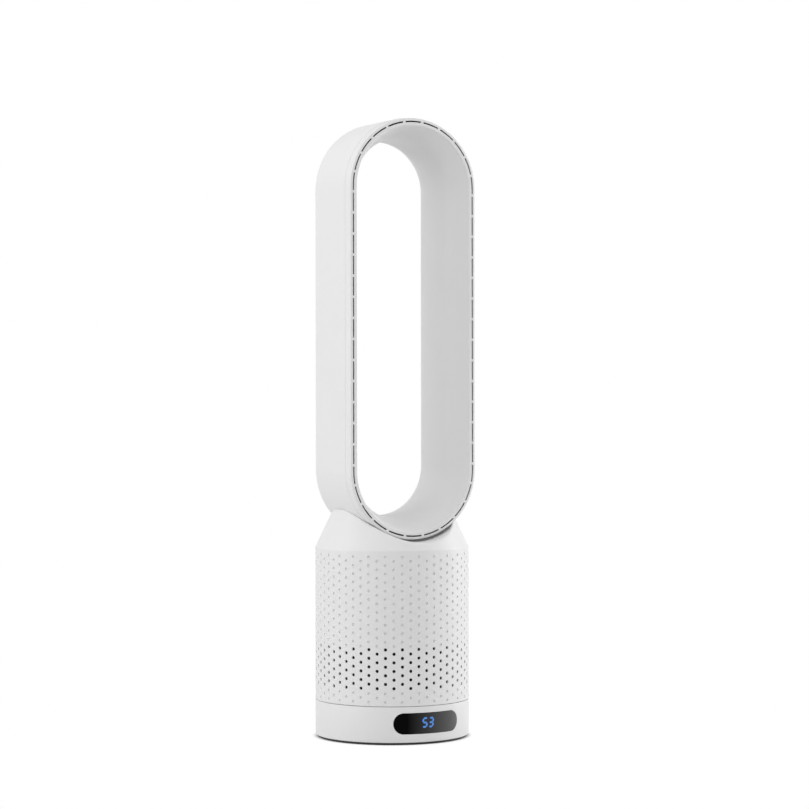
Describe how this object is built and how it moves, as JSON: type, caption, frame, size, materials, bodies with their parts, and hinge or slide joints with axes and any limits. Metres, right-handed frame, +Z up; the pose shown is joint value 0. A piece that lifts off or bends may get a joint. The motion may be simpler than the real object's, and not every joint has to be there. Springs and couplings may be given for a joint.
{
  "type": "bladeless fan",
  "caption": "Bladeless tower fan: an upright stadium-shaped air loop on an oscillating perforated cylinder over a static base with a display window.",
  "frame": {"origin": "on the fan's vertical axis, at the underside of the foot", "axes": "+Z up, -Y the front, which the loop blows towards at rest, +X to the right in the front view"},
  "size_m": [0.2, 0.1998, 0.8],
  "materials": {
    "loop_plastic": "satin silver-white moulded plastic",
    "casing_plastic": "fine satin silver-white moulded plastic",
    "lens_plastic": "smoked black, polished",
    "frame_plastic": "plain off-white structural plastic",
    "impeller_plastic": "black glass-filled plastic",
    "gear_plastic": "natural low-friction plastic",
    "rubber": "dull dark rubber",
    "screw_steel": "zinc-plated steel",
    "shaft_steel": "ground steel",
    "motor_metal": "cast and machined",
    "drive_case": "plated steel case",
    "winding": "lacquered copper winding",
    "board": "green circuit board",
    "digits": "dark two-digit light module"
  },
  "bodies": {
    "base": {"base_shell": "casing_plastic", "base_plate": "frame_plastic", "foot_pad": "rubber", "display_lens": "lens_plastic", "display_board": "board", "digit_module": "digits", "control_board": "board", "cord_gland": "rubber", "slide_pads": "gear_plastic", "spindle_cap": "frame_plastic", "base_screws": "screw_steel", "oscillation_motor": "drive_case", "drive_screws": "screw_steel"},
    "head": {"outlet_ring": "loop_plastic", "loop_inner_shell": "loop_plastic", "loop_outer_shell": "loop_plastic", "loop_screws": "screw_steel", "shoulder_cover": "casing_plastic", "intake_grille": "casing_plastic", "turntable": "frame_plastic", "head_gear": "gear_plastic", "gear_screws": "screw_steel", "drive_board": "board", "impeller_duct": "frame_plastic", "diffuser": "frame_plastic", "neck_duct": "frame_plastic", "neck_seal": "rubber", "motor_mount": "rubber", "motor_housing": "motor_metal", "motor_cap": "motor_metal", "motor_stator": "winding", "motor_bearings": "shaft_steel"},
    "impeller_set": {"impeller": "impeller_plastic", "motor_shaft": "shaft_steel", "motor_rotor": "shaft_steel"},
    "pinion_set": {"drive_pinion": "gear_plastic", "pinion_shaft": "shaft_steel"}
  },
  "joints": [
    {"name": "head_oscillation", "type": "hinge", "parent": "base", "child": "head", "pos_m": [0, 0, 0.05], "axis": [0, 0, 1], "range_deg": [-37.2, 42.8]},
    {"name": "impeller_spin", "type": "hinge", "parent": "head", "child": "impeller_set", "pos_m": [0, 0, 0.155], "axis": [0, 0, 1], "continuous": true},
    {"name": "pinion_spin", "type": "hinge", "parent": "base", "child": "pinion_set", "pos_m": [-0.04174, 0.03785, 0.0465], "axis": [0, 0, 1], "range_deg": [-180, 180]}
  ],
  "couplings": [
    {"joint": "pinion_spin", "follows": "head_oscillation", "ratio": -4}
  ]
}
